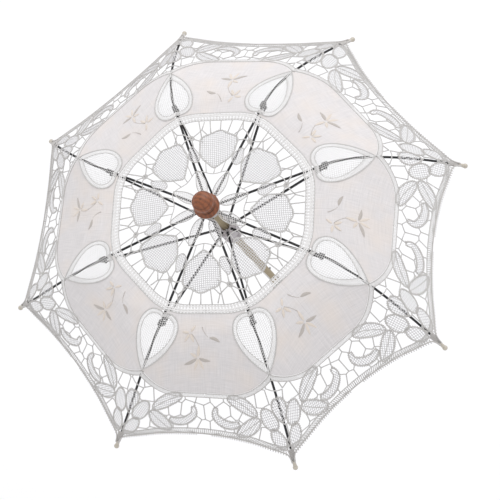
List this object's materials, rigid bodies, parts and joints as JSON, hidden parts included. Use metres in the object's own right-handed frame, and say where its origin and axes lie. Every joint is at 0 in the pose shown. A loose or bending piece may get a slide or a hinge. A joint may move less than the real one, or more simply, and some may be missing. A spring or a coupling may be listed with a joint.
{
  "type": "lace parasol",
  "caption": "Open lace parasol with a domed scalloped cover on curved ribs, a sliding runner with stretchers, a turned wooden finial and a straight handle",
  "frame": {"origin": "centre of the flat end of the handle", "axes": "+Z along the shaft towards the finial, +X along rib 1"},
  "size_m": [0.5738, 0.5738, 0.5036],
  "materials": {
    "shaft_tube": "lacquered steel tube, satin",
    "turned_wood": "turned, stained reddish brown and varnished",
    "cotton": "white cotton lace and plain linen panels",
    "hub_plastic": "moulded, satin",
    "bright_steel": "drawn wire and spring strip",
    "rib_steel": "black japanned steel wire",
    "tip_enamel": "cream ball tips"
  },
  "bodies": {
    "root": {"shaft": "shaft_tube", "finial": "turned_wood", "apex_washer": "cotton", "top_notch": "hub_plastic", "notch_wire": "bright_steel", "notch_pin": "bright_steel", "stop_pin": "bright_steel", "handle": "turned_wood", "handle_collar": "bright_steel"},
    "runner": {"runner": "hub_plastic", "runner_wire": "bright_steel"},
    "top_catch": {"top_catch": "bright_steel"},
    "bottom_catch": {"bottom_catch": "bright_steel"},
    "rib_1": {"rib_1": "rib_steel", "rib_bracket_1": "rib_steel", "rib_tip_1": "tip_enamel", "cover_panel_1": "cotton"},
    "stretcher_1": {"stretcher_1": "rib_steel"},
    "rib_2": {"rib_2": "rib_steel", "rib_bracket_2": "rib_steel", "rib_tip_2": "tip_enamel", "cover_panel_2": "cotton"},
    "stretcher_2": {"stretcher_2": "rib_steel"},
    "rib_3": {"rib_3": "rib_steel", "rib_bracket_3": "rib_steel", "rib_tip_3": "tip_enamel", "cover_panel_3": "cotton"},
    "stretcher_3": {"stretcher_3": "rib_steel"},
    "rib_4": {"rib_4": "rib_steel", "rib_bracket_4": "rib_steel", "rib_tip_4": "tip_enamel", "cover_panel_4": "cotton"},
    "stretcher_4": {"stretcher_4": "rib_steel"},
    "rib_5": {"rib_5": "rib_steel", "rib_bracket_5": "rib_steel", "rib_tip_5": "tip_enamel", "cover_panel_5": "cotton"},
    "stretcher_5": {"stretcher_5": "rib_steel"},
    "rib_6": {"rib_6": "rib_steel", "rib_bracket_6": "rib_steel", "rib_tip_6": "tip_enamel", "cover_panel_6": "cotton"},
    "stretcher_6": {"stretcher_6": "rib_steel"},
    "rib_7": {"rib_7": "rib_steel", "rib_bracket_7": "rib_steel", "rib_tip_7": "tip_enamel", "cover_panel_7": "cotton"},
    "stretcher_7": {"stretcher_7": "rib_steel"},
    "rib_8": {"rib_8": "rib_steel", "rib_bracket_8": "rib_steel", "rib_tip_8": "tip_enamel", "cover_panel_8": "cotton"},
    "stretcher_8": {"stretcher_8": "rib_steel"}
  },
  "joints": [
    {"name": "runner_slide", "type": "slide", "parent": "root", "child": "runner", "axis": [0, 0, 1], "range_m": [-0.1861, 0]},
    {"name": "rib_hinge_1", "type": "hinge", "parent": "root", "child": "rib_1", "pos_m": [0.009, 0, 0.47], "axis": [0, 1, 0], "range_deg": [0, 66.1], "deforming": ["cover_panel_1"]},
    {"name": "stretcher_hinge_1", "type": "hinge", "parent": "rib_1", "child": "stretcher_1", "pos_m": [0.13724, 0, 0.44685], "axis": [0, 1, 0], "range_deg": [-121.6, 0]},
    {"name": "rib_hinge_2", "type": "hinge", "parent": "root", "child": "rib_2", "pos_m": [0.00636, 0.00636, 0.47], "axis": [-0.7071, 0.7071, 0], "range_deg": [0, 66.1], "deforming": ["cover_panel_2"]},
    {"name": "stretcher_hinge_2", "type": "hinge", "parent": "rib_2", "child": "stretcher_2", "pos_m": [0.09705, 0.09705, 0.44685], "axis": [-0.7071, 0.7071, 0], "range_deg": [-121.6, 0]},
    {"name": "rib_hinge_3", "type": "hinge", "parent": "root", "child": "rib_3", "pos_m": [0, 0.009, 0.47], "axis": [-1, 0, 0], "range_deg": [0, 66.1], "deforming": ["cover_panel_3"]},
    {"name": "stretcher_hinge_3", "type": "hinge", "parent": "rib_3", "child": "stretcher_3", "pos_m": [0, 0.13724, 0.44685], "axis": [-1, 0, 0], "range_deg": [-121.6, 0]},
    {"name": "rib_hinge_4", "type": "hinge", "parent": "root", "child": "rib_4", "pos_m": [-0.00636, 0.00636, 0.47], "axis": [-0.7071, -0.7071, 0], "range_deg": [0, 66.1], "deforming": ["cover_panel_4"]},
    {"name": "stretcher_hinge_4", "type": "hinge", "parent": "rib_4", "child": "stretcher_4", "pos_m": [-0.09705, 0.09705, 0.44685], "axis": [-0.7071, -0.7071, 0], "range_deg": [-121.6, 0]},
    {"name": "rib_hinge_5", "type": "hinge", "parent": "root", "child": "rib_5", "pos_m": [-0.009, 0, 0.47], "axis": [0, -1, 0], "range_deg": [0, 66.1], "deforming": ["cover_panel_5"]},
    {"name": "stretcher_hinge_5", "type": "hinge", "parent": "rib_5", "child": "stretcher_5", "pos_m": [-0.13724, 0, 0.44685], "axis": [0, -1, 0], "range_deg": [-121.6, 0]},
    {"name": "rib_hinge_6", "type": "hinge", "parent": "root", "child": "rib_6", "pos_m": [-0.00636, -0.00636, 0.47], "axis": [0.7071, -0.7071, 0], "range_deg": [0, 66.1], "deforming": ["cover_panel_6"]},
    {"name": "stretcher_hinge_6", "type": "hinge", "parent": "rib_6", "child": "stretcher_6", "pos_m": [-0.09705, -0.09705, 0.44685], "axis": [0.7071, -0.7071, 0], "range_deg": [-121.6, 0]},
    {"name": "rib_hinge_7", "type": "hinge", "parent": "root", "child": "rib_7", "pos_m": [0, -0.009, 0.47], "axis": [1, 0, 0], "range_deg": [0, 66.1], "deforming": ["cover_panel_7"]},
    {"name": "stretcher_hinge_7", "type": "hinge", "parent": "rib_7", "child": "stretcher_7", "pos_m": [0, -0.13724, 0.44685], "axis": [1, 0, 0], "range_deg": [-121.6, 0]},
    {"name": "rib_hinge_8", "type": "hinge", "parent": "root", "child": "rib_8", "pos_m": [0.00636, -0.00636, 0.47], "axis": [0.7071, 0.7071, 0], "range_deg": [0, 66.1], "deforming": ["cover_panel_8"]},
    {"name": "stretcher_hinge_8", "type": "hinge", "parent": "rib_8", "child": "stretcher_8", "pos_m": [0.09705, -0.09705, 0.44685], "axis": [0.7071, 0.7071, 0], "range_deg": [-121.6, 0]},
    {"name": "top_catch_press", "type": "hinge", "parent": "root", "child": "top_catch", "pos_m": [0.00388, 0.00161, 0.3368], "axis": [0.3827, -0.9239, 0], "range_deg": [0, 4.4], "stiffness_Nm_per_rad": 0.2, "springref_deg": -1.15},
    {"name": "bottom_catch_press", "type": "hinge", "parent": "root", "child": "bottom_catch", "pos_m": [0.00388, 0.00161, 0.16165], "axis": [0.3827, -0.9239, 0], "range_deg": [0, 4.4], "stiffness_Nm_per_rad": 0.2, "springref_deg": -1.15}
  ],
  "couplings": [
    {"joint": "rib_hinge_1", "follows": "runner_slide", "rad_per_m": -6.1882},
    {"joint": "stretcher_hinge_1", "follows": "runner_slide", "rad_per_m": 11.391},
    {"joint": "rib_hinge_2", "follows": "runner_slide", "rad_per_m": -6.1882},
    {"joint": "stretcher_hinge_2", "follows": "runner_slide", "rad_per_m": 11.391},
    {"joint": "rib_hinge_3", "follows": "runner_slide", "rad_per_m": -6.1882},
    {"joint": "stretcher_hinge_3", "follows": "runner_slide", "rad_per_m": 11.391},
    {"joint": "rib_hinge_4", "follows": "runner_slide", "rad_per_m": -6.1882},
    {"joint": "stretcher_hinge_4", "follows": "runner_slide", "rad_per_m": 11.391},
    {"joint": "rib_hinge_5", "follows": "runner_slide", "rad_per_m": -6.1882},
    {"joint": "stretcher_hinge_5", "follows": "runner_slide", "rad_per_m": 11.391},
    {"joint": "rib_hinge_6", "follows": "runner_slide", "rad_per_m": -6.1882},
    {"joint": "stretcher_hinge_6", "follows": "runner_slide", "rad_per_m": 11.391},
    {"joint": "rib_hinge_7", "follows": "runner_slide", "rad_per_m": -6.1882},
    {"joint": "stretcher_hinge_7", "follows": "runner_slide", "rad_per_m": 11.391},
    {"joint": "rib_hinge_8", "follows": "runner_slide", "rad_per_m": -6.1882},
    {"joint": "stretcher_hinge_8", "follows": "runner_slide", "rad_per_m": 11.391}
  ]
}
